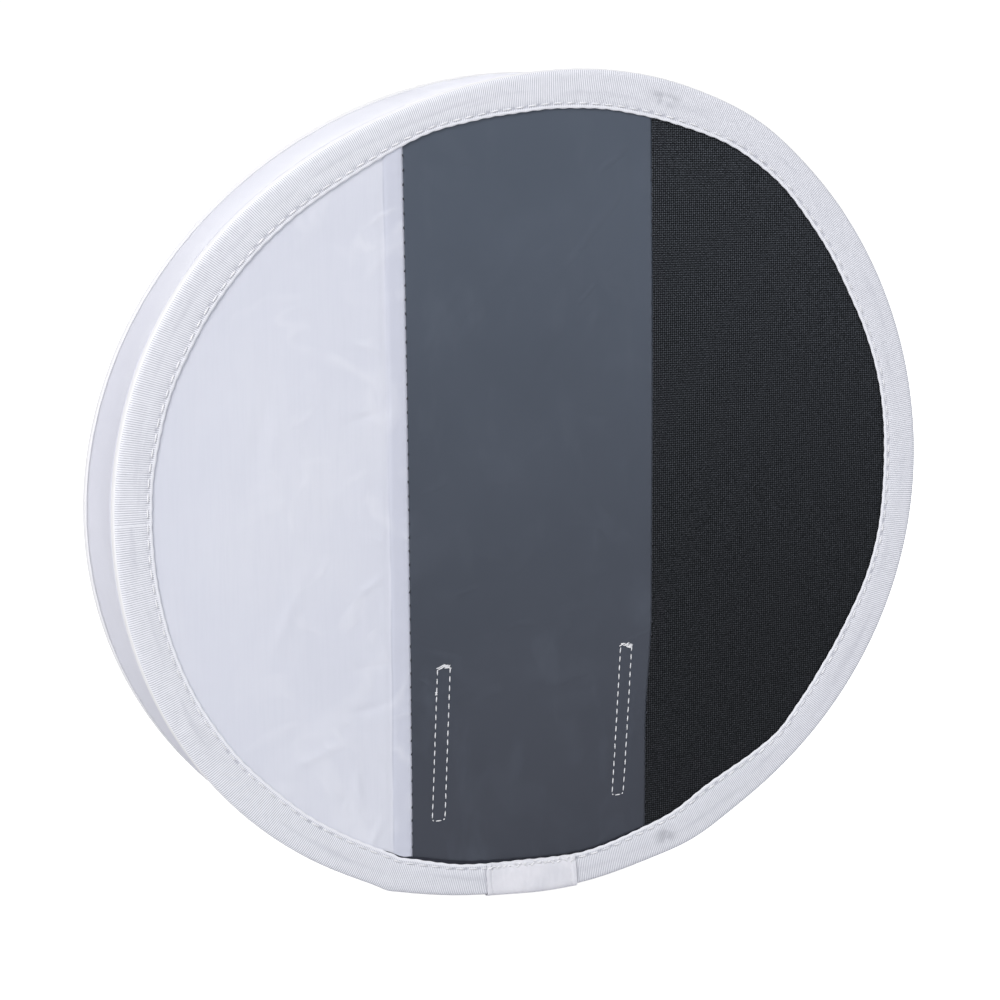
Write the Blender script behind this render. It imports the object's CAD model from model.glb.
import math
import random

import bmesh
import bpy
from mathutils import Euler, Matrix, Vector, noise


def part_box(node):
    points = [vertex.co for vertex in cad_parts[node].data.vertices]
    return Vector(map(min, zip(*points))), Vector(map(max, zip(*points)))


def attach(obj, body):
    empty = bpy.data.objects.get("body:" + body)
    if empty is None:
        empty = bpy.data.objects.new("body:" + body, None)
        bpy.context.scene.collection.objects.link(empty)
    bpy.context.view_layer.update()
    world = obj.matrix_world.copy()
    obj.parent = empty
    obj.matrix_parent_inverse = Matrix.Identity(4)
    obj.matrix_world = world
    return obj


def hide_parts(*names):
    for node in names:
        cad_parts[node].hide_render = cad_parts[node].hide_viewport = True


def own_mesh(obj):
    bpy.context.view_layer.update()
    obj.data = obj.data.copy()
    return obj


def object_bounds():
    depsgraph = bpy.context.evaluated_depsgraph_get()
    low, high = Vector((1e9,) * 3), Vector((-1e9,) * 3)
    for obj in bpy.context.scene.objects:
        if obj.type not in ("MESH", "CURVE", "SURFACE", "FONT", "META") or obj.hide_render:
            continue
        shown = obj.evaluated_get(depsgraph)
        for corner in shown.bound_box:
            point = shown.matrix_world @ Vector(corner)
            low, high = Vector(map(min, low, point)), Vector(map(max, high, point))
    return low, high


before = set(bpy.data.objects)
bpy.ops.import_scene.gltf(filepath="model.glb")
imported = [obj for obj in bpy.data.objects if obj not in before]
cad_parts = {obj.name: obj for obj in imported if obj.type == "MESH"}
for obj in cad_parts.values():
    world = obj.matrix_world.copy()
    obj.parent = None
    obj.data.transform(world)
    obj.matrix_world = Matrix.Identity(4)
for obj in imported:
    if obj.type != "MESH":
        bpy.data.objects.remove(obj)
cad_box = [list(corner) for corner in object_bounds()]

# A pop-up flash diffuser drum. Metres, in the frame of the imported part: +X to the right when the
# target is looked at, +Y from the target to the diffuser, +Z up. An inset is a distance inwards
# from the outside of the binding. A height is measured from a hoop's middle plane, outwards.

MM = 0.001
FULL_TURN = 2 * math.pi
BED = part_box("rear_binding_tape")
FAR_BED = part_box("front_binding_tape")
HOOP_X = (BED[0].x + BED[1].x) / 2
HOOP_Z = (BED[0].z + BED[1].z) / 2
REAR = ((BED[0].y + BED[1].y) / 2, -1)
FRONT = ((FAR_BED[0].y + FAR_BED[1].y) / 2, 1)
SPACING = FRONT[0] - REAR[0]
NEAR_SIDE = Vector((0, -1, 0))

# Hoop outline
LONG_RADIUS = 154.75 * MM
SHORT_RADIUS = 145.25 * MM
LEAN = math.radians(19)
TURNING_RADIUS = 150 * MM
RIM_STEPS = 900
RIM_CUTS = 4

# Binding
TAPE = 0.45 * MM
RIB_PITCH = 0.75 * MM
TAPE_LEG = 13.0 * MM
STITCH_INSET = 11.3 * MM
BINDING_STITCHES = 178
CRIMP_ANGLE = {REAR: math.radians(72.5), FRONT: math.radians(112)}

LABEL_FROM, LABEL_TO = -99.5, -85.2  # degrees round the hoop

# Target
LEFT_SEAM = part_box("grey_strip")[0].x + 8.0 * MM
RIGHT_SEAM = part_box("grey_strip")[1].x
FACE_HEIGHT = 2.0 * MM
CLOTH = 0.28 * MM
CUT_INSET = 3.6 * MM
EDGE_CLEARANCE = 0.6 * MM
SEAM_PITCH = 4.8 * MM
BOX_PITCH = 3.3 * MM
FOLD_BAND = 7.1 * MM

# Slot
SLOT_RIGHT = math.radians(-69.8)
SLOT_LEFT = math.radians(246.3)
HEM_WIDTH = 8.0 * MM


def smooth(value, low, high):
    """0 below low, 1 above high, and an even turn between them."""
    share = min(1.0, max(0.0, (value - low) / (high - low)))
    return share * share * (3 - 2 * share)


def bump(value, middle, width):
    """1 at the middle, falling to nothing on both sides."""
    return math.exp(-(((value - middle) / width) ** 2))


def turn_bump(angle, middle_degrees, width_degrees):
    """A bump round the rim, at an angle in degrees."""
    away = (math.degrees(angle) - middle_degrees + 180) % 360 - 180
    return bump(away, 0, width_degrees)


# ---------------------------------------------------------------- camera, floor and light


def aim_camera():
    """The view of the target from the left and a little above."""
    data = bpy.data.cameras.new("camera")
    data.sensor_width = 36
    data.lens = 81.72
    data.clip_start = 0.05
    camera = bpy.data.objects.new("camera", data)
    bpy.context.scene.collection.objects.link(camera)
    from_hoop = Vector((-0.3225, -0.7208, 0.1250))
    camera.location = Vector((HOOP_X, REAR[0], HOOP_Z)) + from_hoop
    heading, dip, roll = math.radians(-23.01), math.radians(-9.196), math.radians(-0.27)
    turn = Euler((0, 0, heading)).to_matrix() @ Euler((math.pi / 2 + dip, 0, 0)).to_matrix()
    camera.rotation_euler = (turn @ Euler((0, 0, roll)).to_matrix()).to_euler()
    bpy.context.scene.camera = camera


def add_softbox(name, place, aim, size, power, colour):
    """One large rectangular light that faces a point."""
    data = bpy.data.lights.new(name, "AREA")
    data.shape = "RECTANGLE"
    data.size, data.size_y = size
    data.energy = power
    data.color = colour
    lamp = bpy.data.objects.new(name, data)
    lamp.location = place
    lamp.rotation_euler = (Vector(aim) - Vector(place)).to_track_quat("-Z", "Y").to_euler()
    bpy.context.scene.collection.objects.link(lamp)


def light_studio():
    """A white room with a soft key above left, a fill on the right and a light behind."""
    middle = (HOOP_X, 0, HOOP_Z)
    add_softbox("key_light", (-1.3, -1.1, 1.5), middle, (1.0, 1.0), 38, (1.0, 0.99, 0.985))
    add_softbox("fill_light", (1.5, -1.3, 0.7), middle, (1.4, 1.4), 7.5, (0.95, 0.97, 1.0))
    add_softbox("back_light", (0.25, 1.8, 0.7), middle, (1.2, 1.2), 14, (1.0, 1.0, 1.0))
    world = bpy.data.worlds.new("white_room")
    bpy.context.scene.world = world
    world.use_nodes = True
    tree = world.node_tree
    lit, seen, choose = tree.nodes["Background"], add(tree, "Background"), add(tree, "MixShader")
    for node, colour, strength in ((lit, (0.955, 0.965, 1.0, 1), 0.36), (seen, (1, 1, 1, 1), 1.05)):
        node.inputs["Color"].default_value = colour
        node.inputs["Strength"].default_value = strength
    tree.links.new(add(tree, "LightPath").outputs["Is Camera Ray"], choose.inputs[0])
    tree.links.new(lit.outputs[0], choose.inputs[1])
    tree.links.new(seen.outputs[0], choose.inputs[2])
    tree.links.new(choose.outputs[0], tree.nodes["World Output"].inputs["Surface"])
    bpy.context.scene.view_settings.view_transform = "Standard"


def lay_floor():
    """A plain pale floor just below the drum's foot."""
    bm = bmesh.new()
    bmesh.ops.create_grid(bm, x_segments=1, y_segments=1, size=6)
    bmesh.ops.translate(bm, verts=bm.verts, vec=(0, 0, cad_box[0][2] - 1.5 * MM))
    mesh = bpy.data.meshes.new("floor")
    bm.to_mesh(mesh)
    bm.free()
    floor = bpy.data.objects.new("floor", mesh)
    bpy.context.scene.collection.objects.link(floor)
    paint = bpy.data.materials.new("pale_floor")
    paint.use_nodes = True
    tree = paint.node_tree
    shader = tree.nodes["Principled BSDF"]
    shader.inputs["Base Color"].default_value = (0.72, 0.72, 0.73, 1)
    shader.inputs["Roughness"].default_value = 0.9
    shader.inputs["Emission Color"].default_value = (1, 1, 1, 1)
    seen = add(tree, "LightPath").outputs["Is Camera Ray"]
    tree.links.new(seen, shader.inputs["Emission Strength"])
    mesh.materials.append(paint)


# ---------------------------------------------------------------- shader parts


def add(tree, kind, **settings):
    """A node with its settings."""
    node = tree.nodes.new("ShaderNode" + kind)
    for name, value in settings.items():
        setattr(node, name, value)
    return node


def feed(tree, socket, value):
    """Links another node's output to a socket, or sets its value."""
    if isinstance(value, bpy.types.NodeSocket):
        tree.links.new(value, socket)
    else:
        socket.default_value = value


def calc(tree, operation, first, second=None, third=None, clamp=False):
    """One step of arithmetic."""
    node = add(tree, "Math", operation=operation, use_clamp=clamp)
    for socket, value in zip(node.inputs, (first, second, third)):
        if value is not None:
            feed(tree, socket, value)
    return node.outputs[0]


def times(tree, first, second):
    """A product."""
    return calc(tree, "MULTIPLY", first, second)


def from_middle(tree, value, middle):
    """The distance of a value from a middle."""
    return calc(tree, "ABSOLUTE", calc(tree, "SUBTRACT", value, middle))


def ridges(tree, value, pitch):
    """Round ridges along a value in metres, from 0 to 1."""
    return calc(tree, "ABSOLUTE", calc(tree, "SINE", times(tree, value, math.pi / pitch)))


def ease(tree, value, low, high):
    """0 below low and 1 above high, or the other way round where low is larger."""
    node = add(tree, "MapRange", interpolation_type="SMOOTHSTEP")
    feed(tree, node.inputs["Value"], value)
    node.inputs["From Min"].default_value = min(low, high)
    node.inputs["From Max"].default_value = max(low, high)
    node.inputs["To Min"].default_value = 0 if low < high else 1
    node.inputs["To Max"].default_value = 1 if low < high else 0
    return node.outputs["Result"]


def blend_colours(tree, share, first, second):
    """A mix of two colours."""
    node = add(tree, "Mix", data_type="RGBA")
    feed(tree, node.inputs[0], share)
    feed(tree, node.inputs[6], first)
    feed(tree, node.inputs[7], second)
    return node.outputs[2]


def grain(tree, place, scale, detail=2.0):
    """Soft noise, from 0 to 1."""
    node = add(tree, "TexNoise")
    feed(tree, node.inputs["Vector"], place)
    node.inputs["Scale"].default_value = scale
    node.inputs["Detail"].default_value = detail
    return node.outputs["Fac"]


def new_group(name, inputs, outputs):
    """An empty group with named sockets, and its two end nodes."""
    group = bpy.data.node_groups.new(name, "ShaderNodeTree")
    for socket, kind in inputs:
        group.interface.new_socket(name=socket, in_out="INPUT", socket_type="NodeSocket" + kind)
    for socket, kind in outputs:
        group.interface.new_socket(name=socket, in_out="OUTPUT", socket_type="NodeSocket" + kind)
    return group, group.nodes.new("NodeGroupInput"), group.nodes.new("NodeGroupOutput")


def make_weave_group():
    """Plain weave: threads that pass over and under each other. Across and Up are in metres."""
    group, given, result = new_group(
        "plain weave", [("Across", "Float"), ("Up", "Float"), ("Pitch", "Float")], [("Height", "Float")]
    )
    waves = []
    for name in ("Across", "Up"):
        turns = calc(group, "DIVIDE", given.outputs[name], given.outputs["Pitch"])
        waves.append(calc(group, "SINE", times(group, turns, math.pi)))
    warp, weft = (calc(group, "ABSOLUTE", wave) for wave in waves)
    over = calc(group, "MULTIPLY_ADD", times(group, *waves), 2.5, 0.5, clamp=True)
    under = calc(group, "SUBTRACT", 1.0, over)
    height = calc(group, "MULTIPLY_ADD", weft, under, times(group, warp, over))
    group.links.new(height, result.inputs["Height"])
    return group


def make_mottle_group():
    """Uneven dye and handling: two colours mixed by soft noise at two sizes."""
    group, given, result = new_group(
        "cloth mottle",
        [("Place", "Vector"), ("Light", "Color"), ("Dark", "Color"), ("Patch Scale", "Float")],
        [("Color", "Color")],
    )
    node = add(group, "TexNoise")
    group.links.new(given.outputs["Place"], node.inputs["Vector"])
    group.links.new(given.outputs["Patch Scale"], node.inputs["Scale"])
    node.inputs["Detail"].default_value = 5
    share = ease(group, node.outputs["Fac"], 0.34, 0.66)
    colour = blend_colours(group, share, given.outputs["Light"], given.outputs["Dark"])
    group.links.new(colour, result.inputs["Color"])
    return group


def make_wrinkle_group():
    """Sparse thin creases left by folding: narrow curved ridges that come and go in patches."""
    group, given, result = new_group(
        "handling creases", [("Place", "Vector"), ("Scale", "Float")], [("Height", "Float")]
    )
    folds = []
    for offset, share in ((0.0, 1.0), (3.7, 0.8)):
        moved = add(group, "VectorMath", operation="ADD")
        group.links.new(given.outputs["Place"], moved.inputs[0])
        moved.inputs[1].default_value = (offset, offset, offset)
        node = add(group, "TexNoise")
        group.links.new(moved.outputs[0], node.inputs["Vector"])
        group.links.new(given.outputs["Scale"], node.inputs["Scale"])
        node.inputs["Detail"].default_value = 2.5
        node.inputs["Distortion"].default_value = 0.8
        ridge = ease(group, from_middle(group, node.outputs["Fac"], 0.5), 0.050, 0.0)
        patch = ease(group, grain(group, moved.outputs[0], 44, 2), 0.46, 0.62)
        folds.append(times(group, times(group, ridge, patch), share))
    group.links.new(calc(group, "MAXIMUM", *folds), result.inputs["Height"])
    return group


WEAVE = make_weave_group()
MOTTLE = make_mottle_group()
WRINKLES = make_wrinkle_group()


def wrinkles(tree, place, scale):
    """Places the crease group and returns its height."""
    node = add(tree, "Group", node_tree=WRINKLES)
    feed(tree, node.inputs["Place"], place)
    node.inputs["Scale"].default_value = scale
    return node.outputs["Height"]


def weave(tree, across, up, pitch):
    """Places the weave group and returns its height."""
    node = add(tree, "Group", node_tree=WEAVE)
    feed(tree, node.inputs["Across"], across)
    feed(tree, node.inputs["Up"], up)
    node.inputs["Pitch"].default_value = pitch
    return node.outputs["Height"]


def mottle(tree, place, light, dark, scale):
    """Places the mottle group and returns its colour."""
    node = add(tree, "Group", node_tree=MOTTLE)
    feed(tree, node.inputs["Place"], place)
    node.inputs["Light"].default_value = (*light, 1)
    node.inputs["Dark"].default_value = (*dark, 1)
    node.inputs["Patch Scale"].default_value = scale
    return node.outputs["Color"]


def new_material(name, roughness, sheen=0.0, metallic=0.0, coat=0.0, gloss=0.3):
    """A material with its shader's even values set, its tree and its object coordinates."""
    paint = bpy.data.materials.new(name)
    paint.use_nodes = True
    tree = paint.node_tree
    even_values = {
        "Roughness": roughness, "Specular IOR Level": gloss, "Sheen Weight": sheen, "Sheen Roughness": 0.5,
        "Metallic": metallic, "Coat Weight": coat, "Coat Roughness": 0.35,
    }
    for socket, value in even_values.items():
        tree.nodes["Principled BSDF"].inputs[socket].default_value = value
    return paint, tree, add(tree, "TexCoord").outputs["Object"]


def finish_look(paint, colour, height, strength, depth):
    """Gives a material its colour, and its height as bump."""
    tree = paint.node_tree
    shader = tree.nodes["Principled BSDF"]
    relief = add(tree, "Bump")
    relief.inputs["Strength"].default_value = strength
    relief.inputs["Distance"].default_value = depth
    tree.links.new(height, relief.inputs["Height"])
    tree.links.new(relief.outputs["Normal"], shader.inputs["Normal"])
    tree.links.new(colour, shader.inputs["Base Color"])
    return paint


def parts_of(tree, vector):
    """The three parts of a vector."""
    node = add(tree, "SeparateXYZ")
    tree.links.new(vector, node.inputs[0])
    return node.outputs[0], node.outputs[1], node.outputs[2]


def stretched(tree, place, scale, rotation=(0.0, 0.0, 0.0)):
    """Coordinates turned and stretched, for noise that runs one way."""
    node = add(tree, "Mapping")
    node.inputs["Rotation"].default_value = rotation
    node.inputs["Scale"].default_value = scale
    tree.links.new(place, node.inputs["Vector"])
    return node.outputs[0]


def smudge(tree, place, along, inset, centre, reach):
    """A soft grey mark on the tape at (along, inset), in metres; reach is its half size both ways."""
    share = 1.0
    for value, middle, half in zip((along, inset), centre, reach):
        share = times(tree, share, ease(tree, from_middle(tree, value, middle), half, 0.2 * half))
    return times(tree, share, ease(tree, grain(tree, place, 190, 4), 0.32, 0.56))


def soil(tree, place, along, inset):
    """Soil on the tape's target side: over the band's sleeve and near the foot."""
    over_sleeve = ((CRIMP_ANGLE[REAR] - 0.016) * TURNING_RADIUS, 6.8 * MM)
    near_foot = (math.radians(-69.9) * TURNING_RADIUS, 6.8 * MM)
    spots = ((over_sleeve, (9.0 * MM, 3.0 * MM)), (near_foot, (6.0 * MM, 4.0 * MM)))
    marks = calc(tree, "MAXIMUM", *[smudge(tree, place, along, inset, *spot) for spot in spots])
    on_target_side = ease(tree, parts_of(tree, place)[1], 0.0, -5 * MM)
    return times(tree, times(tree, marks, 0.45), on_target_side)


def needle_holes(tree, place, along, inset):
    """The dents where the binding's thread goes in, uneven from 0 to 0.5."""
    turns = times(tree, along, BINDING_STITCHES / TURNING_RADIUS)
    hole = calc(tree, "MULTIPLY_ADD", calc(tree, "COSINE", turns), 0.5, 0.5)
    at_line = ease(tree, from_middle(tree, inset, STITCH_INSET), 0.85 * MM, 0.15 * MM)
    uneven = times(tree, ease(tree, grain(tree, place, 55, 2), 0.36, 0.62), 0.5)
    return times(tree, times(tree, ease(tree, hole, 0.55, 1.0), at_line), uneven)


def long_waves(tree, along, inset):
    """Long faint waves in the middle of the tape's leg."""
    run = add(tree, "CombineXYZ")
    tree.links.new(along, run.inputs[0])
    tree.links.new(times(tree, inset, 9.0), run.inputs[1])
    wave = ease(tree, grain(tree, run.outputs[0], 32, 3), 0.47, 0.70)
    middle = times(tree, ease(tree, inset, 3.5 * MM, 6.2 * MM), ease(tree, inset, 10.5 * MM, 7.0 * MM))
    return times(tree, times(tree, wave, middle), 0.34)


def tape_material():
    """Ribbed white grosgrain, smooth and bright round its fold and along its woven edge."""
    paint, tree, place = new_material("white_grosgrain", 0.62, sheen=0.12)
    along, inset, _ = parts_of(tree, add(tree, "UVMap", uv_map="rim").outputs["UV"])
    woven_edge = times(tree, ease(tree, inset, 11.8 * MM, 12.2 * MM), 0.85)
    fold = ease(tree, inset, 0.60 * MM, 0.25 * MM)
    rib = calc(tree, "MAXIMUM", ridges(tree, along, RIB_PITCH), calc(tree, "MAXIMUM", woven_edge, fold))
    worn = ease(tree, grain(tree, place, 420, 2), 0.25, 0.80)
    groove = blend_colours(tree, worn, (0.36, 0.37, 0.43, 1), (0.46, 0.47, 0.53, 1))
    shade = blend_colours(tree, rib, groove, (0.87, 0.88, 0.93, 1))
    shade = blend_colours(tree, fold, shade, (0.83, 0.83, 0.85, 1))
    shade = blend_colours(tree, long_waves(tree, along, inset), shade, (0.50, 0.51, 0.57, 1))
    shade = blend_colours(tree, needle_holes(tree, place, along, inset), shade, (0.34, 0.35, 0.42, 1))
    shade = blend_colours(tree, soil(tree, place, along, inset), shade, (0.27, 0.28, 0.32, 1))
    return finish_look(paint, shade, rib, 0.35, 0.10 * MM)


def thread_material(name, light, dark):
    """Twisted sewing thread."""
    paint, tree, place = new_material(name, 0.6, sheen=0.2)
    twist = add(tree, "TexWave", wave_type="BANDS", bands_direction="DIAGONAL")
    tree.links.new(place, twist.inputs["Vector"])
    twist.inputs["Scale"].default_value = 900
    colour = mottle(tree, place, light, dark, 900)
    return finish_look(paint, colour, twist.outputs["Fac"], 0.4, 0.05 * MM)


def nylon_material(name, light, dark, pitch, roughness, relief, see_through=0.0, flat=True):
    """Smooth nylon cloth with a fine weave, woven across X where it is flat and across Y on a wall."""
    paint, tree, place = new_material(name, roughness, sheen=0.08)
    x, y, z = parts_of(tree, place)
    threads = weave(tree, x if flat else y, z, pitch)
    between = [0.86 * part for part in dark]
    gaps = calc(tree, "MULTIPLY_ADD", threads, -0.35, 0.35)
    colour = blend_colours(tree, gaps, mottle(tree, place, light, dark, 14), (*between, 1))
    handled = calc(tree, "ADD", grain(tree, place, 95, 6), wrinkles(tree, place, 17))
    if see_through:
        shader = tree.nodes["Principled BSDF"]
        shader.inputs["Subsurface Weight"].default_value = see_through
        shader.inputs["Subsurface Radius"].default_value = (1.0, 1.0, 1.0)
        shader.inputs["Subsurface Scale"].default_value = 1.5 * MM
    return finish_look(paint, colour, calc(tree, "MULTIPLY_ADD", threads, 0.25, handled), relief, 0.25 * MM)


def white_strip_material():
    """White nylon whose turned edge shows through as a slightly darker band with a crease beside it."""
    paint, tree, place = new_material("white_nylon", 0.55, sheen=0.08)
    x, _, z = parts_of(tree, place)
    away, _, _ = parts_of(tree, add(tree, "UVMap", uv_map="seam").outputs["UV"])
    colour = mottle(tree, place, (0.700, 0.716, 0.790), (0.668, 0.686, 0.768), 14)
    slubs = grain(tree, stretched(tree, place, (40.0, 1.0, 2.0)), 30, 2)
    slubs = times(tree, ease(tree, slubs, 0.42, 0.66), 0.12)
    colour = blend_colours(tree, slubs, colour, (0.60, 0.62, 0.71, 1))
    # The turned edge, whose crease is relaxed at mid-height
    wander = calc(tree, "MULTIPLY_ADD", grain(tree, place, 30, 2), 1.2 * MM, -0.6 * MM)
    from_crease = calc(tree, "SUBTRACT", calc(tree, "ADD", away, wander), FOLD_BAND)
    relaxed = times(tree, ease(tree, z, 0.12, 0.16), ease(tree, z, 0.24, 0.20))
    near_crease = calc(tree, "DIVIDE", from_crease, calc(tree, "MULTIPLY_ADD", relaxed, 5.0, 1.0))
    band = ease(tree, near_crease, 0.3 * MM, -0.3 * MM)
    colour = blend_colours(tree, times(tree, band, 0.85), colour, (0.575, 0.595, 0.690, 1))
    line = ease(tree, calc(tree, "ABSOLUTE", from_crease), 0.5 * MM, 0.05 * MM)
    line = times(tree, line, ease(tree, grain(tree, place, 38, 3), 0.35, 0.6))
    line = times(tree, line, calc(tree, "MULTIPLY_ADD", relaxed, -0.7, 1.0))
    colour = blend_colours(tree, times(tree, line, 0.42), colour, (0.40, 0.42, 0.50, 1))
    # Creases near the seam
    handled = times(tree, wrinkles(tree, place, 24), ease(tree, away, 75 * MM, 25 * MM))
    colour = blend_colours(tree, times(tree, handled, 0.38), colour, (0.775, 0.790, 0.855, 1))
    threads = weave(tree, x, z, 0.30 * MM)
    height = calc(tree, "MULTIPLY_ADD", threads, 0.10, times(tree, grain(tree, place, 95, 6), 0.5))
    return finish_look(paint, colour, calc(tree, "ADD", height, handled), 0.6, 0.17 * MM)


def grey_material():
    """Neutral grey coated nylon: a low even sheen with faint rubbed creases."""
    paint, tree, place = new_material("grey_coated_nylon", 0.5, coat=0.03, gloss=0.35)
    x, _, z = parts_of(tree, place)
    top = mottle(tree, place, (0.076, 0.094, 0.127), (0.070, 0.087, 0.118), 18)
    foot = mottle(tree, place, (0.047, 0.053, 0.071), (0.042, 0.048, 0.065), 18)
    colour = blend_colours(tree, ease(tree, z, 0.0, 0.30), foot, top)
    rubbed = grain(tree, stretched(tree, place, (1.0, 1.0, 0.35), (0.0, 0.5, 0.0)), 85, 7)
    creases = wrinkles(tree, place, 19)
    patches = times(tree, ease(tree, rubbed, 0.55, 0.72), 0.14)
    rub = calc(tree, "MULTIPLY_ADD", creases, 0.08, patches)
    colour = blend_colours(tree, rub, colour, (0.105, 0.124, 0.160, 1))
    threads = weave(tree, x, z, 0.38 * MM)
    height = calc(tree, "MULTIPLY_ADD", threads, 0.12, times(tree, rubbed, 0.6))
    return finish_look(paint, colour, calc(tree, "ADD", height, creases), 0.6, 0.22 * MM)


def black_material():
    """Coarse matt black oxford, whose thread crowns catch the light."""
    paint, tree, place = new_material("black_oxford", 0.8, gloss=0.12)
    x, _, z = parts_of(tree, place)
    threads = weave(tree, x, z, 0.80 * MM)
    uneven = calc(tree, "MULTIPLY_ADD", grain(tree, place, 1700, 2), 1.6, -0.2, clamp=True)
    fleck = times(tree, ease(tree, threads, 0.66, 0.99), uneven)
    rise = ease(tree, z, 0.06, 0.29)
    crown = blend_colours(tree, rise, (0.066, 0.070, 0.080, 1), (0.128, 0.140, 0.165, 1))
    colour = blend_colours(tree, fleck, (0.002, 0.003, 0.004, 1), crown)
    return finish_look(paint, colour, threads, 0.7, 0.22 * MM)


def silver_material():
    """Silver coating, slightly crushed."""
    paint, tree, place = new_material("silver_coating", 0.38, metallic=0.55)
    colour = mottle(tree, place, (0.72, 0.73, 0.75), (0.55, 0.56, 0.58), 30)
    return finish_look(paint, colour, grain(tree, place, 130, 6), 0.4, 0.3 * MM)


def elastic_material():
    """Black ribbed elastic."""
    paint, tree, place = new_material("black_elastic", 0.75, sheen=0.1)
    x, _, z = parts_of(tree, place)
    cords = ridges(tree, z, 1.3 * MM)
    height = calc(tree, "ADD", cords, times(tree, weave(tree, x, z, 0.6 * MM), 0.4))
    colour = blend_colours(tree, cords, (0.008, 0.008, 0.010, 1), (0.030, 0.030, 0.034, 1))
    return finish_look(paint, colour, height, 0.6, 0.2 * MM)


def satin_material():
    """Blank white satin ribbon, with fine lengthwise threads."""
    paint, tree, place = new_material("white_satin", 0.42, sheen=0.25, coat=0.05)
    floats = calc(tree, "SINE", times(tree, parts_of(tree, place)[2], math.pi / (0.22 * MM)))
    colour = mottle(tree, place, (0.82, 0.82, 0.87), (0.74, 0.745, 0.80), 90)
    height = calc(tree, "ADD", times(tree, floats, 0.2), grain(tree, place, 240, 4))
    return finish_look(paint, colour, height, 0.3, 0.2 * MM)


def steel_material(name, light, dark, roughness):
    """Rolled steel with drawn lines round the hoop."""
    paint, tree, place = new_material(name, roughness, metallic=1.0)
    drawn = grain(tree, stretched(tree, place, (1.0, 40.0, 1.0)), 90, 3)
    rough = calc(tree, "MULTIPLY_ADD", drawn, 0.25, roughness - 0.1)
    tree.links.new(rough, tree.nodes["Principled BSDF"].inputs["Roughness"])
    return finish_look(paint, blend_colours(tree, drawn, (*dark, 1), (*light, 1)), drawn, 0.2, 0.05 * MM)


GUSSET_WHITES = ((0.715, 0.725, 0.805), (0.68, 0.69, 0.775))
DIFFUSER_WHITES = ((0.78, 0.79, 0.82), (0.74, 0.75, 0.79))
HEM_WHITES = ((0.76, 0.77, 0.81), (0.70, 0.71, 0.76))
LINING_DARKS = ((0.016, 0.018, 0.030), (0.010, 0.012, 0.020))
MATERIALS = {
    "tape": tape_material(),
    "white_thread": thread_material("white_thread", (0.86, 0.86, 0.88), (0.70, 0.71, 0.74)),
    "dark_thread": thread_material("dark_thread", (0.030, 0.034, 0.048), (0.012, 0.014, 0.022)),
    "white_nylon": white_strip_material(),
    "gusset_nylon": nylon_material("gusset_nylon", *GUSSET_WHITES, 0.30 * MM, 0.5, 0.12, flat=False),
    "diffuser_nylon": nylon_material("diffuser_nylon", *DIFFUSER_WHITES, 0.34 * MM, 0.5, 0.2, 0.3),
    "hem": nylon_material("hem_tape", *HEM_WHITES, 0.4 * MM, 0.6, 0.3),
    "grey": grey_material(),
    "black": black_material(),
    "lining": nylon_material("lining_back", *LINING_DARKS, 0.4 * MM, 0.7, 0.3),
    "silver": silver_material(),
    "elastic": elastic_material(),
    "satin": satin_material(),
    "steel": steel_material("spring_steel", (0.55, 0.56, 0.60), (0.36, 0.37, 0.40), 0.32),
    "crimp_steel": steel_material("plated_steel", (0.72, 0.72, 0.74), (0.50, 0.50, 0.52), 0.38),
}


# ---------------------------------------------------------------- the hoop's outline


def hoop_radius(angle, inset):
    """How far the relaxed oval is from the hoop's centre."""
    along, across = LONG_RADIUS - inset, SHORT_RADIUS - inset
    turn = angle - LEAN
    return along * across / math.hypot(across * math.cos(turn), along * math.sin(turn))


def hoop_set(angle, y):
    """The slight bends that each sprung hoop has taken up, as a distance outwards."""
    nearness = min(1.0, max(0.0, (FRONT[0] - y) / SPACING))
    both = -1.0 * math.cos(3 * angle)
    near = 1.08 * math.cos(4 * angle + math.radians(106)) + 0.36 * math.cos(5 * angle)
    near += 1.3 * turn_bump(angle, -66, 6) - 1.0 * turn_bump(angle, -97, 8)
    near += 0.7 * turn_bump(angle, -113, 4) + 0.5 * turn_bump(angle, -113.8, 1.3)
    near += 0.8 * turn_bump(angle, 57, 7)
    return (both + nearness * near) * MM


def rim_point(angle, inset, y):
    """A point on or inside the rim."""
    radius = hoop_radius(angle, inset) + hoop_set(angle, y)
    return Vector((HOOP_X + radius * math.cos(angle), y, HOOP_Z + radius * math.sin(angle)))


def level(side, height):
    """The Y of a height above a hoop's middle plane."""
    return side[0] + side[1] * height


def chord(x, inset):
    """The lowest and highest Z of the oval on one upright line."""
    along, across = LONG_RADIUS - inset, SHORT_RADIUS - inset
    right, back = along * math.cos(LEAN), -across * math.sin(LEAN)
    reach = math.hypot(right, back)
    middle = math.atan2(back, right)
    spread = math.acos(max(-1.0, min(1.0, (x - HOOP_X) / reach)))
    ends = []
    for turn in (middle - spread, middle + spread):
        rise = along * math.cos(turn) * math.sin(LEAN) + across * math.sin(turn) * math.cos(LEAN)
        ends.append(HOOP_Z + rise)
    return min(ends), max(ends)


def finish_piece(bm, name, body, material, slot, replaces=(), shade=True, extra=()):
    """Makes an object of a mesh and says what it rides on and stands for."""
    for face in bm.faces:
        face.smooth = shade
    mesh = bpy.data.meshes.new(name)
    bm.to_mesh(mesh)
    bm.free()
    piece = bpy.data.objects.new(name, mesh)
    bpy.context.scene.collection.objects.link(piece)
    mesh.materials.append(MATERIALS[material])
    for other in extra:
        mesh.materials.append(MATERIALS[other])
    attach(piece, body)
    if replaces:
        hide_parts(*replaces)
    return piece


# ---------------------------------------------------------------- turned pieces


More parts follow.
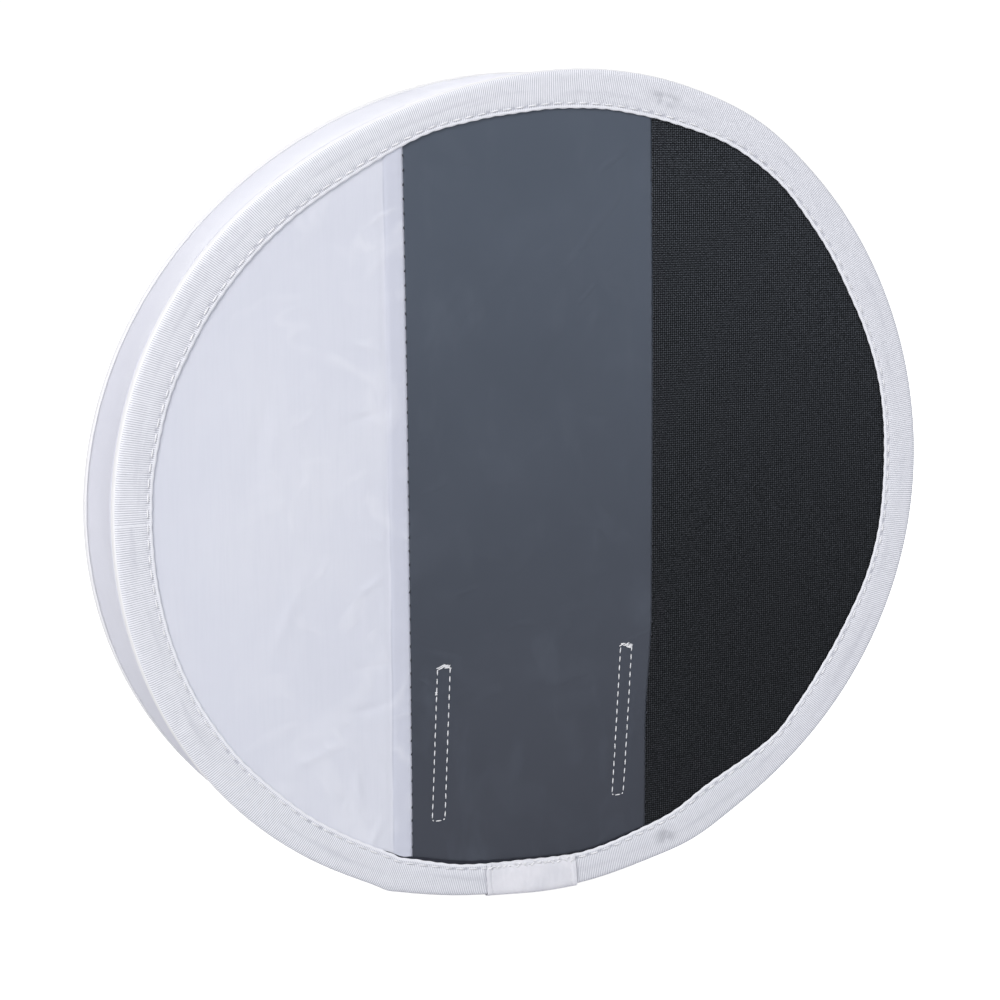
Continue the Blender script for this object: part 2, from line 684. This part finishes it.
def offset_path(path, distance):
    """A path of (inset, height) points moved sideways; the outside of the drum is on its left."""
    moved = []
    for index, (inset, height) in enumerate(path):
        before, after = path[max(index - 1, 0)], path[min(index + 1, len(path) - 1)]
        run, rise = after[0] - before[0], after[1] - before[1]
        length = math.hypot(run, rise)
        moved.append((inset + distance * rise / length, height - distance * run / length))
    return moved


def thick_path(path, distance):
    """A closed outline: the path and the same path moved sideways."""
    return path + offset_path(path, distance)[::-1]


def runs_round(edge):
    """Whether an edge of a turned piece runs along the rim."""
    first, second = (vert.co for vert in edge.verts)
    return (first - second).cross(first).y ** 2 > 1e-9


def turned(outline, side, start=0.0, end=FULL_TURN, steps=RIM_STEPS):
    """A ring, or part of one, spun from a closed outline of (inset, height) points in millimetres."""
    bm = bmesh.new()
    points = []
    for inset, height in outline:
        radius = TURNING_RADIUS - inset * MM
        y = level(side, height * MM)
        points.append(bm.verts.new((radius * math.cos(start), y, radius * math.sin(start))))
    edges = [bm.edges.new(pair) for pair in zip(points, points[1:] + points[:1])]
    whole = end - start >= FULL_TURN
    bmesh.ops.spin(
        bm, geom=points + edges, cent=(0, 0, 0), axis=(0, -1, 0), angle=end - start,
        steps=steps // (RIM_CUTS + 1), use_merge=whole,
    )
    if not whole:
        bmesh.ops.holes_fill(bm, edges=[edge for edge in bm.edges if edge.is_boundary], sides=0)
    along = [edge for edge in bm.edges if runs_round(edge)]
    bmesh.ops.subdivide_edges(bm, edges=along, cuts=RIM_CUTS, use_grid_fill=True)
    bmesh.ops.recalc_face_normals(bm, faces=bm.faces)
    return bm


def settle(bm, bend=None):
    """Marks a turned piece with its place round the rim, then lays it on the hoop's real outline."""
    marks = bm.loops.layers.uv.new("rim")
    for face in bm.faces:
        turns = [math.atan2(loop.vert.co.z, loop.vert.co.x) for loop in face.loops]
        crosses = max(turns) - min(turns) > math.pi
        for loop, turn in zip(face.loops, turns):
            if crosses and turn < 0:
                turn += FULL_TURN
            inset = TURNING_RADIUS - math.hypot(loop.vert.co.x, loop.vert.co.z)
            loop[marks].uv = (turn * TURNING_RADIUS, inset)
    for vert in bm.verts:
        angle = math.atan2(vert.co.z, vert.co.x)
        inset = TURNING_RADIUS - math.hypot(vert.co.x, vert.co.z)
        y = vert.co.y
        if bend:
            inset, y = bend(angle, inset, y)
        vert.co = rim_point(angle, inset, y)
    return bm


# The tape's outer face, from the edge of its outer leg, round the rim, to the edge of its inner leg
TAPE_PATH = [
    (13.0, 2.38), (12.85, 2.58), (12.3, 2.68), (11.8, 2.66), (11.3, 2.54), (10.8, 2.68), (9.8, 2.80),
    (8.4, 2.86), (6.8, 2.86), (5.2, 2.84), (3.8, 2.84), (2.6, 2.84), (1.7, 2.80), (1.0, 2.62), (0.5, 2.28),
    (0.18, 1.80), (0.04, 1.2), (0.0, 0.5), (0.0, -0.5), (0.04, -1.2), (0.18, -1.80), (0.5, -2.28),
    (1.0, -2.60), (1.8, -2.72), (3.0, -2.45), (5.0, -1.75), (7.5, -0.85), (9.5, -0.15), (11.0, 0.30),
    (12.0, 0.45), (13.0, 0.50),
]
FOLD_START = 23  # where the inner leg leaves the rim in that list


# Where the tape was sewn wider or narrower: degrees round the rim, spread in degrees, millimetres
LEG_DRIFTS = (
    (109, 9, -1.9), (72, 13, 1.3), (49, 5, -0.4), (30, 12, 1.2), (0, 9, 0.8), (-29, 10, 1.6),
    (-45, 4, -0.9), (-61, 8, 2.5), (-83, 7, -1.2), (-102, 9, -1.2), (150, 10, 0.5), (200, 12, -0.4),
    (225, 9, 0.4),
)


def leg_drift(angle):
    """How much further in the tape's edge was sewn than its width says."""
    return sum(drift * turn_bump(angle, at, spread) for at, spread, drift in LEG_DRIFTS) * MM


def tape_bend(side):
    """Eases the tape round the hoop: its edge wanders and is drawn down at each needle hole."""

    def bend(angle, inset, y):
        height = (y - side[0]) * side[1]
        inner = smooth(inset, 5 * MM, 12 * MM)
        phase = angle * BINDING_STITCHES
        if height > 1.0 * MM:
            hole = 0.5 + 0.5 * math.cos(phase)
            height -= 0.13 * MM * hole * bump(inset, STITCH_INSET, 0.8 * MM)
            height += 0.10 * MM * inner * noise.noise(Vector((angle * 14, inset * 90, 3)))
            inset += 0.10 * MM * math.cos(phase) * smooth(inset, 12 * MM, 13 * MM)
            over_sleeve = turn_bump(angle, math.degrees(CRIMP_ANGLE[side]), 3.0)
            height += 0.30 * MM * over_sleeve * bump(inset, 1.5 * MM, 2 * MM)
        if side is REAR:
            inset += leg_drift(angle) * inner
        inset += 0.22 * MM * inner * noise.noise(Vector((angle * 9, 7, 0)))
        return inset, level(side, height)

    return bend


def add_binding(side, side_name, body):
    """The folded tape of one hoop and its line of stitches."""
    bend = tape_bend(side)
    bm = settle(turned(thick_path(TAPE_PATH, -TAPE / MM), side), bend)
    name = side_name + "_binding_"
    piece = finish_piece(bm, name + "grosgrain", body, "tape", "binding_tape", [name + "tape"])
    chance = random.Random(5 if side is REAR else 6)
    stitches = bmesh.new()
    for index in range(BINDING_STITCHES):
        angle = (index + 0.5) * FULL_TURN / BINDING_STITCHES
        angle -= FULL_TURN if angle > math.pi else 0
        inset = STITCH_INSET + chance.uniform(-0.12, 0.12) * MM
        inset, y = bend(angle, inset, level(side, 2.74 * MM))
        place = rim_point(angle, inset, y)
        ahead = rim_point(angle + 0.01, inset, y)
        add_stitch(stitches, place, ahead - place, Vector((0, side[1], 0)), 3.5 * MM, 0.56 * MM)
    finish_piece(stitches, name + "stitches", body, "white_thread", "white_thread", [name + "thread"])


def add_stitch(bm, place, along, out, length, width):
    """One visible stitch of thread: a slender rounded grain lying on the cloth."""
    along = along.normalized()
    side = out.cross(along).normalized()
    turn = Matrix((along * length / 2, side * width / 2, out * width / 2)).transposed().to_4x4()
    turn.translation = place
    bmesh.ops.create_uvsphere(bm, u_segments=8, v_segments=5, radius=1.0, matrix=turn)


def add_hoop(side, name, body):
    """The flat spring band inside the binding, and the sleeve that joins its ends."""
    joint = CRIMP_ANGLE[side]
    gap = 0.2 * MM / TURNING_RADIUS
    inner, outer, half, corner = 1.75, 1.05, 1.8, 0.2
    band = [
        (outer, half - corner), (outer + corner, half), (inner - corner, half), (inner, half - corner),
        (inner, corner - half), (inner - corner, -half), (outer + corner, -half), (outer, corner - half),
    ]
    bm = settle(turned(band, side, joint + gap, joint + FULL_TURN - gap, 360))
    hoop = name + "_hoop"
    finish_piece(bm, name + "_spring_band", body, "steel", "spring_steel", [hoop], shade=False)
    reach = 7.0 * MM / TURNING_RADIUS
    sleeve = [(1.4, 1.88), (0.97, 1.88), (0.97, -1.88), (1.83, -1.88), (1.83, 1.88), (1.46, 1.88)]
    bm = settle(turned(thick_path(sleeve, 0.26), side, joint - reach, joint + reach, 24))
    crimp = [hoop + "_crimp"]
    finish_piece(bm, name + "_band_sleeve", body, "crimp_steel", "crimp_steel", crimp, shade=False)


# ---------------------------------------------------------------- flat cloths


def seam_drift(z, right):
    """How far a seam strays from straight, in metres."""
    if right:
        above_middle = max(0.0, z - 0.150) / 0.116
        return (0.9 - 1.1 * above_middle**2 - 2.3 * smooth(-z, -0.100, -0.055)) * MM
    return (0.5 - 0.8 * ((z - 0.085) / 0.180) ** 2) * MM


def cloth(x0, x1, columns, rows, shape, inset=CUT_INSET):
    """A flat ply cut to the oval between two upright edges; shape gives each (x, z) its place."""
    bm = bmesh.new()
    bmesh.ops.create_grid(bm, x_segments=columns, y_segments=rows, size=1.0)
    for vert in bm.verts:
        x = x0 + (x1 - x0) * (vert.co.x + 1) / 2
        low, high = chord(x, inset)
        z = low + (high - low) * (vert.co.y + 1) / 2
        vert.co = shape(x, z)
    bmesh.ops.recalc_face_normals(bm, faces=bm.faces)
    return bm


def face_outwards(bm, side):
    """Turns an open ply's faces to the outside of the drum, and says how large it is."""
    if sum(face.normal.y for face in bm.faces) * side[1] < 0:
        bmesh.ops.reverse_faces(bm, faces=bm.faces)
    return sum(face.calc_area() for face in bm.faces)


def thicken(piece, thickness):
    """Gives a ply its thickness, inwards."""
    solid = piece.modifiers.new("ply", "SOLIDIFY")
    solid.thickness = thickness
    solid.offset = -1
    return solid


def rim_fade(x, z):
    """1 over the open face, falling to 0 where the binding holds the cloth flat."""
    angle = math.atan2(z - HOOP_Z, x - HOOP_X)
    reach = math.hypot(x - HOOP_X, z - HOOP_Z)
    return smooth(hoop_radius(angle, 0) - reach, 13 * MM, 40 * MM)


def target_lie(x, z):
    """How the whole target lies, as a height: nearly flat, with the slow waves of stretched cloth."""
    slow = 0.45 * noise.noise(Vector((x / 0.075, 1.5, z / 0.09)))
    slow += 0.16 * noise.noise(Vector((x / 0.022, 4.5, z / 0.05)))
    return slow * MM * rim_fade(x, z)


def seam_pucker(distance, z, reach):
    """The small gathers along a sewn seam."""
    gather = math.cos(FULL_TURN * z / SEAM_PITCH) * (0.6 + noise.noise(Vector((9, z * 60, 2))))
    return 0.10 * MM * bump(distance, 0, reach) * gather


# Creases left by handling: x, z, half length, half width, direction in degrees and height, with
# lengths in millimetres
WHITE_CREASES = (
    (-62, 75, 7, 1.6, 8, -0.304), (-66, 48, 5, 1.5, 100, 0.38), (-70, 42, 6, 1.6, 120, -0.304),
    (-61, 118, 6, 1.2, 30, 0.285), (-58, 134, 5, 1.1, -25, 0.266), (-59, 90, 9, 1.0, 5, -0.228),
    (-82, 60, 8, 1.8, 20, 0.247), (-63, 176, 6, 1.2, 15, -0.228), (-60, 200, 8, 1.2, -12, 0.228),
    (-90, 110, 12, 2.4, 65, 0.228), (-60, 29, 7, 1.3, 60, 0.266), (-99, 170, 14, 3.0, 80, -0.19),
)
GREY_CREASES = (
    (-20, 215, 16, 1.5, 40, 0.10), (5, 190, 22, 2.0, 60, -0.10), (22, 230, 14, 1.6, 110, 0.10),
    (-5, 150, 20, 1.8, 140, 0.08), (30, 120, 18, 1.4, 75, 0.10), (-25, 110, 16, 1.6, 50, -0.10),
    (10, 95, 12, 1.2, 20, 0.10), (33, 47, 9, 1.0, -30, 0.16), (18, 62, 14, 1.8, 115, -0.10),
    (-12, 60, 18, 1.8, 70, 0.09), (40, 33, 6, 0.8, -18, 0.18), (-38, 170, 16, 1.4, 95, 0.09),
)


def creased(creases, x, z):
    """The height that a list of handling creases adds at a point."""
    height = 0.0
    for middle_x, middle_z, length, width, direction, depth in creases:
        right, up = x / MM - middle_x, z / MM - middle_z
        if abs(right) + abs(up) < 3 * length:
            turn = math.radians(direction)
            run = right * math.cos(turn) + up * math.sin(turn)
            off = up * math.cos(turn) - right * math.sin(turn)
            height += depth * bump(run, 0, length) * bump(off, 0, width)
    return height * MM


def white_shape(x, z):
    """White ply, folded under at the seam, with a crease along its turned allowance."""
    x_seam = LEFT_SEAM + seam_drift(z, False)
    x += seam_drift(z, False) * smooth(x, LEFT_SEAM - 0.06, LEFT_SEAM)
    away = x_seam - x
    height = FACE_HEIGHT + target_lie(x, z)
    height += 0.20 * MM * (1 - smooth(away, FOLD_BAND - 1.2 * MM, FOLD_BAND + 0.6 * MM))
    wander = 0.5 * MM * noise.noise(Vector((2, z * 25, 5)))
    height -= 0.14 * MM * bump(away, FOLD_BAND + 0.6 * MM + wander, 0.8 * MM)
    height -= 0.22 * MM * bump(away, 0, 0.7 * MM)
    height += seam_pucker(away, z, 3.5 * MM)
    fine = noise.noise(Vector((x / 0.006, z / 0.016, 8.0)))
    fine += 0.6 * noise.noise(Vector((x / 0.003, z / 0.007, 3.0)))
    height += 0.05 * MM * fine * (0.35 + 0.9 * bump(away, 14 * MM, 22 * MM)) * rim_fade(x, z)
    height += creased(WHITE_CREASES, x, z)
    return Vector((x, level(REAR, height), z))


def grey_shape(x, z):
    """Grey coated ply between the two seams, marked by the strap's stitches."""
    share = (x - LEFT_SEAM) / (RIGHT_SEAM - LEFT_SEAM)
    x += seam_drift(z, False) * (1 - share) + seam_drift(z, True) * share
    from_right = RIGHT_SEAM + seam_drift(z, True) - x
    height = FACE_HEIGHT - 0.12 * MM + target_lie(x, z)
    height += 0.16 * MM * (1 - smooth(from_right, 5 * MM, 8 * MM))
    height -= 0.20 * MM * bump(from_right, 0, 0.7 * MM)
    height += seam_pucker(from_right, z, 3 * MM)
    for box in STITCH_BOXES:
        height -= 0.16 * MM * box_press(box, x, z)
    fine = noise.noise(Vector((x / 0.009, z / 0.030, 1.0)))
    fine += 0.5 * noise.noise(Vector((x / 0.004, z / 0.009, 6.0)))
    height += 0.06 * MM * fine * rim_fade(x, z) + creased(GREY_CREASES, x, z)
    return Vector((x, level(REAR, height), z))


def black_shape(x, z):
    """Black oxford ply, tucked behind the grey one's folded edge."""
    x += seam_drift(z, True) * (1 - smooth(x, RIGHT_SEAM, RIGHT_SEAM + 0.06))
    height = FACE_HEIGHT - 0.22 * MM + target_lie(x, z)
    return Vector((x, level(REAR, height), z))


def across(node):
    """Where a ply's left and right edges are, just inside its solid's."""
    low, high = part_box(node)
    return low.x + EDGE_CLEARANCE, high.x - EDGE_CLEARANCE


def flat_size(node):
    """A flat ply's width and length."""
    low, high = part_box(node)
    size = high - low
    return size.x, size.z


def add_target():
    """The three strips, the lining behind them and the two seams."""
    left, right = across("white_strip")[0], across("black_strip")[1]
    strips = (
        ("white_strip", (left, LEFT_SEAM, 110, 240), white_shape, "white_nylon", "white_nylon"),
        ("grey_strip", (LEFT_SEAM, RIGHT_SEAM, 110, 240), grey_shape, "grey", "grey_coated_nylon"),
        ("black_strip", (RIGHT_SEAM, right, 70, 150), black_shape, "black", "black_oxford"),
    )
    for node, extent, shape, material, slot in strips:
        bm = cloth(*extent, shape)
        marks = bm.loops.layers.uv.new("seam")
        for loop in (loop for face in bm.faces for loop in face.loops):
            spot = loop.vert.co
            loop[marks].uv = (LEFT_SEAM + seam_drift(spot.z, False) - spot.x, spot.z)
        area = face_outwards(bm, REAR)
        piece = finish_piece(bm, node + "_cloth", "target_side", material, slot, [node])
        thicken(piece, CLOTH)
        flat_size(node)
    add_lining()
    add_raw_edge()
    for name, right_side in (("white_grey_seam", False), ("grey_black_seam", True)):
        add_seam(name, right_side)


def add_lining():
    """The silvered lining, dark on the side towards the strips."""
    node = "target_lining"

    def shape(x, z):
        return Vector((x, level(REAR, FACE_HEIGHT - 0.85 * MM + 0.8 * target_lie(x, z)), z))

    bm = cloth(*across(node), 120, 120, shape)
    area = face_outwards(bm, REAR)
    piece = finish_piece(
        bm, node + "_cloth", "target_side", "lining", "silver_lining", [node], extra=["silver"]
    )
    thicken(piece, CLOTH).material_offset = 1
    flat_size(node)


def add_raw_edge():
    """The lining's raw edge, which peeks out past the strips at the foot."""
    lip = thick_path([(9.0, 2.05), (11.0, 2.07), (12.6, 2.10), (13.3, 2.12), (13.9, 2.12)], -0.12)

    def bend(angle, inset, y):
        place = math.degrees(angle)
        peek = 1.1 * smooth(place, -117, -110) - 0.5 * smooth(place, -101, -92)
        peek -= 1.3 * smooth(place, -76, -62) + 0.9
        peek += 0.22 * noise.noise(Vector((angle * 40, 2, 1)))
        outer = smooth(inset, 9 * MM, 13 * MM)
        return inset + outer * (peek * MM + leg_drift(angle)), y

    bm = settle(turned(lip, REAR, math.radians(-117), math.radians(-55), 160), bend)
    edge = finish_piece(bm, "target_lining_raw_edge", "target_side", "lining", "silver_lining")


def add_seam(name, right_side):
    """Small dark stitches that show along one upright seam."""
    x0 = RIGHT_SEAM if right_side else LEFT_SEAM
    low, high = chord(x0, TAPE_LEG + 1 * MM)
    bm = bmesh.new()
    chance = random.Random(11 if right_side else 12)
    for index in range(int((high - low) / SEAM_PITCH)):
        z = low + (index + 0.5) * SEAM_PITCH
        x = x0 + seam_drift(z, right_side) + chance.uniform(-0.12, 0.12) * MM
        place = Vector((x, level(REAR, FACE_HEIGHT + target_lie(x, z)), z))
        lean = Vector((chance.uniform(-0.4, 0.6), 0, 1))
        add_stitch(bm, place, lean, NEAR_SIDE, 1.2 * MM, 0.5 * MM)
    finish_piece(bm, name + "_stitches", "target_side", "dark_thread", "dark_thread", [name + "_thread"])


# Each stitch box: its foot's middle (x, z), its top's middle (x, z) and its width
STITCH_BOXES = (
    ((-36.1 * MM, 32.0 * MM), (-33.5 * MM, 87.5 * MM), 4.8 * MM),
    ((33.9 * MM, 33.1 * MM), (37.2 * MM, 88.8 * MM), 4.5 * MM),
)


def box_press(box, x, z):
    """How much a stitch box draws the cloth down at a point, from 0 to 1."""
    foot, top, width = box
    if not foot[1] - 2 * MM < z < top[1] + 2 * MM:
        return 0.0
    share = (z - foot[1]) / (top[1] - foot[1])
    middle = foot[0] + share * (top[0] - foot[0])
    lines = bump(abs(x - middle), width / 2, 0.7 * MM)
    return lines * (0.75 + 0.25 * math.cos(FULL_TURN * z / BOX_PITCH))


def add_stitch_boxes():
    """White stitches in two narrow upright boxes, sewn over themselves at the top."""
    for name, box in zip(("left", "right"), STITCH_BOXES):
        foot, top, width = box
        half, blunt = width / 2, 0.36 * width
        bm = bmesh.new()
        chance = random.Random(21 if name == "left" else 22)
        corners = [
            (foot[0] - half, foot[1] + 0.6 * MM), (foot[0] - blunt, foot[1]), (foot[0] + blunt, foot[1]),
            (foot[0] + half, foot[1] + 0.6 * MM), (top[0] + half, top[1]), (top[0] - half, top[1] - 0.4 * MM),
        ]
        for start, end in zip(corners, corners[1:] + corners[:1]):
            run = Vector((end[0] - start[0], 0, end[1] - start[1]))
            count = max(1, round(run.length / BOX_PITCH))
            for index in range(count):
                middle = Vector((start[0], 0, start[1])) + run * (index + 0.5) / count
                sew(bm, middle, run, min(2.35 * MM, 0.8 * run.length), chance)
        # Sewn over at the top: how many, the first one's place and their spacing in widths, how far
        # below and above the line, the lean and the length in millimetres
        for count, first, step, low, high, lean, length in (
            (9, -4 / 9, 1 / 9, -0.9, 0.5, 0.9, 1.8), (6, 0.1, 0.35 / 6, -1.3, 0.3, 1.2, 1.5),
        ):
            for index in range(count):
                x = top[0] + (first + index * step) * width
                middle = Vector((x, 0, top[1] + chance.uniform(low, high) * MM))
                sew(bm, middle, Vector((1, 0, chance.uniform(-lean, lean))), length * MM, chance)
        if name == "left":
            knot = Vector((foot[0] - half + 2.0 * MM, 0, top[1] - 9.5 * MM))
            for lean in (-0.8, 0.1, 0.9):
                sew(bm, knot, Vector((lean, 0, 1)), 1.6 * MM, chance)
        thread = ["strap_thread_" + name]
        finish_piece(bm, "strap_stitches_" + name, "target_side", "white_thread", "white_thread", thread)


def sew(bm, middle, run, length, chance):
    """One stitch on the grey strip's face."""
    surface = grey_shape_at(middle.x, middle.z)
    place = Vector((middle.x, surface - 0.12 * MM, middle.z))
    lean = run.normalized() + Vector((chance.uniform(-0.06, 0.06), 0, chance.uniform(-0.06, 0.06)))
    add_stitch(bm, place, lean, NEAR_SIDE, length, 0.43 * MM)


def grey_shape_at(x, z):
    """The Y of the grey strip's face at a place that has already strayed with the seams."""
    share = (x - LEFT_SEAM) / (RIGHT_SEAM - LEFT_SEAM)
    drift = seam_drift(z, False) * (1 - share) + seam_drift(z, True) * share
    return grey_shape(x - drift, z).y


def add_strap():
    """Elastic strap that stands off the lining between its two sewn ends."""
    low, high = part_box("flash_strap")
    half_length, half_width = (high.x - low.x) / 2, (high.z - low.z) / 2
    thickness = 1.15 * MM
    rise = high.y - low.y - 1.2 * MM
    bm = bmesh.new()
    bmesh.ops.create_grid(bm, x_segments=80, y_segments=40, size=1.0)
    for vert in bm.verts:
        x, z = vert.co.x * half_length, (low.z + high.z) / 2 + vert.co.y * half_width
        lift = rise * smooth(half_length - abs(x), 7.5 * MM, 20 * MM)
        wave = 0.25 * MM * noise.noise(Vector((x * 40, z * 40, 4))) if lift > 1 * MM else 0.0
        vert.co = (x, low.y + 0.05 * MM + lift + wave, z)
    bmesh.ops.recalc_face_normals(bm, faces=bm.faces)
    face_outwards(bm, FRONT)
    bmesh.ops.translate(bm, verts=bm.verts, vec=(0, thickness, 0))
    node = ["flash_strap"]
    piece = finish_piece(bm, "flash_strap_elastic", "target_side", "elastic", "black_elastic", node)
    thicken(piece, thickness)


def add_diffuser():
    """The translucent front panel, with a slight belly and slow wrinkles."""
    node = "diffuser_panel"

    def shape(x, z):
        fade = rim_fade(x, z)
        height = FACE_HEIGHT + 1.0 * MM * fade
        height += 0.9 * MM * fade * noise.noise(Vector((x / 0.08, 11, z / 0.06)))
        height += 0.25 * MM * fade * noise.noise(Vector((x / 0.018, 14, z / 0.04)))
        return Vector((x, level(FRONT, height), z))

    bm = cloth(*across(node), 170, 170, shape)
    area = face_outwards(bm, FRONT)
    piece = finish_piece(bm, "diffuser_cloth", "diffuser_side", "diffuser_nylon", "diffuser_nylon", [node])
    thicken(piece, CLOTH)


# ---------------------------------------------------------------- gusset, slot and label


def add_gusset():
    """The wall between the hoops, open at the slot, with a flange sewn in behind each binding."""
    flange = offset_path(TAPE_PATH, 0.12)[FOLD_START:-2][::-1]
    half = SPACING / MM / 2
    rear = [(inset, height + half) for inset, height in flange]
    wall_end = half - 2.95
    wall = []
    for index in range(15):
        share = index / 14
        wall.append((0.35 + 0.9 * math.sin(math.pi * share), wall_end * (1 - 2 * share)))
    front = [(inset, -height) for inset, height in rear][::-1]
    path = rear + [(0.8, wall_end + 0.02)] + wall + [(0.8, -wall_end - 0.02)] + front

    def bend(angle, inset, y):
        ripple = 0.30 * MM * noise.noise(Vector((angle * 11, y * 30, 5)))
        ripple += 0.12 * MM * noise.noise(Vector((angle * 34, y * 60, 9)))
        wall_share = 1 - smooth(abs(y), 12 * MM, 15.5 * MM)
        return inset + ripple * wall_share, y

    bm = settle(turned(thick_path(path, -0.22), (0.0, -1), SLOT_RIGHT, SLOT_LEFT, 420), bend)
    node = ["gusset_band"]
    piece = finish_piece(bm, "gusset_cloth", "target_side", "gusset_nylon", "gusset_nylon", node)
    flatten(piece)


def flatten(piece):
    """Lets a piece of the wall fold down towards the target as the diffuser is pressed to it."""
    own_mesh(piece)


def add_hems():
    """Tape folded over the two ends of the gusset."""
    for name, end, direction in (("right", SLOT_RIGHT, 1), ("left", SLOT_LEFT, -1)):
        low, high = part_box("slot_hem_" + name)
        bm = bmesh.new()
        bmesh.ops.create_grid(bm, x_segments=40, y_segments=30, size=1.0)
        for vert in bm.verts:
            along, up = vert.co.x, vert.co.y
            y = (low.y + high.y) / 2 + up * (high.y - low.y) / 2
            run = (abs(along) - 0.06) / 0.94 * HEM_WIDTH - 0.2 * MM
            depth = 0.12 + 0.95 * smooth(along, -0.06, 0.06) + 0.9 * math.cos(math.pi / 2 * up)
            vert.co = rim_point(end + direction * run / TURNING_RADIUS, depth * MM, y)
        bmesh.ops.recalc_face_normals(bm, faces=bm.faces)
        node = ["slot_hem_" + name]
        piece = finish_piece(bm, "slot_hem_tape_" + name, "target_side", "hem", "hem_tape", node)
        thicken(piece, 0.2 * MM).offset = 0
        flatten(piece)


def label_bend(angle, inset, y):
    """Unevenness of the hand-folded label, thicker at its turned sides."""
    height = (y - REAR[0]) * REAR[1]
    from_side = min(math.degrees(angle) - LABEL_FROM, LABEL_TO - math.degrees(angle))
    if height > 0:
        height += 0.32 * MM * (1 - smooth(from_side, 0.62, 0.74))
        height += 0.13 * MM * noise.noise(Vector((angle * 90, inset * 260, 1)))
    inset += leg_drift(angle) * smooth(inset, 5 * MM, 12 * MM)
    inset += 0.3 * MM * noise.noise(Vector((angle * 50, 2, 6))) * smooth(inset, 9 * MM, 12.5 * MM)
    inset -= 0.15 * MM * (1 - smooth(inset, 0, 2 * MM))
    return inset, level(REAR, height)


def label_skew(place):
    """The label was not folded square: its left side leans out towards the top."""
    share = 1 - smooth(place.x, -19 * MM, 6 * MM)
    return share * (1.2 - 2.3 * smooth(place.z, 0, 12.5 * MM)) * MM


def add_label():
    """Blank satin ribbon folded over the binding at the drum's foot, sewn across its top."""
    path = offset_path(TAPE_PATH, 0.14)
    start, end = math.radians(LABEL_FROM), math.radians(LABEL_TO)
    bm = settle(turned(thick_path(path[1:-1], 0.24), REAR, start, end, 120), label_bend)
    for vert in bm.verts:
        vert.co.x += label_skew(vert.co)
    piece = finish_piece(bm, "blank_label_satin", "target_side", "satin", "satin_label", ["label_patch"])
    bm = bmesh.new()
    chance = random.Random(31)

    def stitch_on(angle, inset, height, lean, length, width):
        """One stitch on the label; without a lean it lies up the label."""
        depth, y = label_bend(angle, inset, level(REAR, height))
        place = rim_point(angle, depth, y)
        lean = lean or rim_point(angle, depth + MM, y) - place
        place.x += label_skew(place)
        add_stitch(bm, place, lean, NEAR_SIDE, length, width)

    # Two rows across the top: inset, pitch and sway in millimetres
    for inset, pitch, sway in ((11.9, 1.9, 0.5), (11.2, 2.6, 0.25)):
        count = int((end - start) * (TURNING_RADIUS - inset * MM) / (pitch * MM))
        for index in range(count):
            angle = start + (index + 0.5) * (end - start) / count
            depth = (inset + chance.uniform(-sway, sway)) * MM
            lean = Vector((1, 0, chance.uniform(-sway, sway) + 0.5 * (-1) ** index))
            stitch_on(angle, depth, 3.08 * MM, lean, pitch * 0.8 * MM, 0.55 * MM)
    for angle in (start + 0.016, end - 0.016):
        for index in range(4):
            stitch_on(angle, (2.4 + 2.5 * index) * MM, 3.10 * MM, None, 1.7 * MM, 0.38 * MM)
    finish_piece(bm, "label_stitches", "target_side", "white_thread", "white_thread", ["label_thread"])


aim_camera()
light_studio()
lay_floor()
for hoop_side, hoop_name, hoop_body in ((REAR, "rear", "target_side"), (FRONT, "front", "diffuser_side")):
    add_hoop(hoop_side, hoop_name, hoop_body)
    add_binding(hoop_side, hoop_name, hoop_body)
add_target()
add_stitch_boxes()
add_strap()
add_diffuser()
add_gusset()
add_hems()
add_label()
